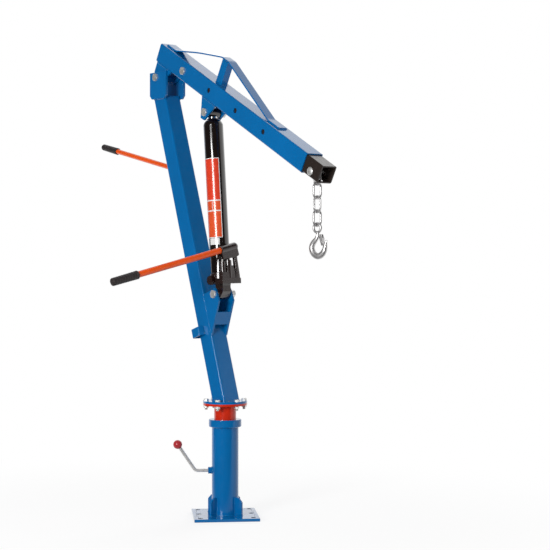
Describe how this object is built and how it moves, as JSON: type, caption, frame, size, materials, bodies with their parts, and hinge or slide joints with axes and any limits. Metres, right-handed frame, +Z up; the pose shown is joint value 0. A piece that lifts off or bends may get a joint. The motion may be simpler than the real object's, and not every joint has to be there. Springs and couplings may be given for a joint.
{
  "type": "hydraulic swivel jib crane",
  "caption": "Bolted-down swivel jib crane: leaning square mast, trussed boom with telescopic extension, long-ram jack with hand pump, chain and latched hook.",
  "frame": {"origin": "centre of the base plate's underside, on the swivel axis", "axes": "+Z up the column; +X from the mast towards the boom's tip at rest; +Y to the far side, away from the pump handle"},
  "size_m": [1.5478, 0.7451, 1.9441],
  "materials": {
    "blue_paint": "gloss royal blue paint over welds",
    "red_paint": "gloss red paint",
    "black_paint": "satin black paint",
    "jack_enamel": "gloss black enamel",
    "orange_paint": "gloss orange paint",
    "zinc_plate": "bright zinc plating",
    "galvanised": "galvanised steel",
    "chrome_rod": "ground and chromed steel",
    "dark_steel": "oiled black steel",
    "knob_plastic": "gloss red plastic",
    "grip_rubber": "matt black ribbed rubber"
  },
  "bodies": {
    "base": {"base_plate": "blue_paint", "column_tube": "blue_paint", "gussets": "blue_paint", "column_collar": "blue_paint", "thrust_ring": "zinc_plate", "brake_boss": "blue_paint"},
    "brake_lever": {"brake_rod": "chrome_rod", "brake_knob": "knob_plastic"},
    "mast": {"spigot": "red_paint", "mast_flange": "blue_paint", "flange_bolts": "zinc_plate", "mast_tube": "blue_paint", "hinge_cheeks": "blue_paint", "hinge_bolt": "zinc_plate", "jack_bracket": "blue_paint", "jack_foot_bolt": "zinc_plate", "handle_holder": "blue_paint", "steer_stud": "blue_paint", "steer_tube": "orange_paint", "steer_grip": "grip_rubber"},
    "boom": {"boom_tube": "blue_paint", "root_plates": "blue_paint", "lug_plates": "blue_paint", "lug_bolts": "zinc_plate", "strap": "blue_paint", "strap_post": "blue_paint", "lock_bolt": "zinc_plate"},
    "extension": {"extension_tube": "black_paint", "chain_bolt": "zinc_plate"},
    "chain": {"chain_links": "galvanised"},
    "hook": {"hook": "galvanised"},
    "latch": {"hook_latch": "galvanised"},
    "jack": {"jack_tube": "jack_enamel", "jack_gland": "jack_enamel", "jack_base": "jack_enamel", "pump_barrels": "jack_enamel", "pump_link": "jack_enamel"},
    "release_knob": {"release_knob": "jack_enamel"},
    "ram": {"ram_rod": "chrome_rod", "ram_eye": "jack_enamel"},
    "pump_handle": {"handle_socket": "jack_enamel", "pump_tube": "orange_paint", "pump_grip": "grip_rubber"},
    "small_plunger": {"plunger_small": "dark_steel"},
    "large_plunger": {"plunger_large": "dark_steel"}
  },
  "joints": [
    {"name": "swivel", "type": "hinge", "parent": "base", "child": "mast", "pos_m": [0, 0, 0.4], "axis": [0, 0, 1], "continuous": true},
    {"name": "boom_lift", "type": "hinge", "parent": "mast", "child": "boom", "pos_m": [-0.4175, 0, 1.803], "axis": [0, -1, 0], "range_deg": [0, 70]},
    {"name": "jack_swing", "type": "hinge", "parent": "mast", "child": "jack", "pos_m": [-0.02182, 0, 0.89724], "axis": [0, -1, 0], "range_deg": [0, 1.15]},
    {"name": "ram_slide", "type": "slide", "parent": "jack", "child": "ram", "axis": [-0.0837, 0, 0.9965], "range_m": [0, 0.42989]},
    {"name": "extension_slide", "type": "slide", "parent": "boom", "child": "extension", "axis": [0.8805, 0, -0.4741], "range_m": [0, 0.6]},
    {"name": "chain_swing", "type": "hinge", "parent": "extension", "child": "chain", "pos_m": [0.571, 0, 1.36501], "axis": [0, 1, 0], "range_deg": [-5, 56]},
    {"name": "hook_swing", "type": "hinge", "parent": "chain", "child": "hook", "pos_m": [0.571, 0, 1.16221], "axis": [0, 1, 0], "range_deg": [-20, 20]},
    {"name": "latch_hinge", "type": "hinge", "parent": "hook", "child": "latch", "pos_m": [0.58763, 0.00353, 1.12701], "axis": [-0.2079, 0.9781, 0], "range_deg": [0, 40], "stiffness_Nm_per_rad": 0.02, "springref_deg": -22.92},
    {"name": "pump_lever", "type": "hinge", "parent": "jack", "child": "pump_handle", "pos_m": [0.02874, 0.026, 1.06004], "axis": [-0.9965, 0, -0.0837], "range_deg": [0, 35]},
    {"name": "small_plunger_slide", "type": "slide", "parent": "jack", "child": "small_plunger", "axis": [-0.0837, 0, 0.9965], "range_m": [0, 0.0382]},
    {"name": "large_plunger_slide", "type": "slide", "parent": "jack", "child": "large_plunger", "axis": [-0.0837, 0, 0.9965], "range_m": [0, 0.02095]},
    {"name": "brake_screw", "type": "hinge", "parent": "base", "child": "brake_lever", "pos_m": [0, 0, 0.188], "axis": [-0.5446, -0.8387, 0], "range_deg": [-90, 90]},
    {"name": "release_valve", "type": "hinge", "parent": "jack", "child": "release_knob", "pos_m": [-0.0265, -0.045, 0.95304], "axis": [0, -1, 0], "range_deg": [0, 120]}
  ],
  "couplings": [
    {"joint": "jack_swing", "follows": "boom_lift", "ratio": 0.016436},
    {"joint": "ram_slide", "follows": "boom_lift", "m_per_rad": 0.35186},
    {"joint": "small_plunger_slide", "follows": "pump_lever", "m_per_rad": 0.062521},
    {"joint": "large_plunger_slide", "follows": "pump_lever", "m_per_rad": 0.034285}
  ]
}
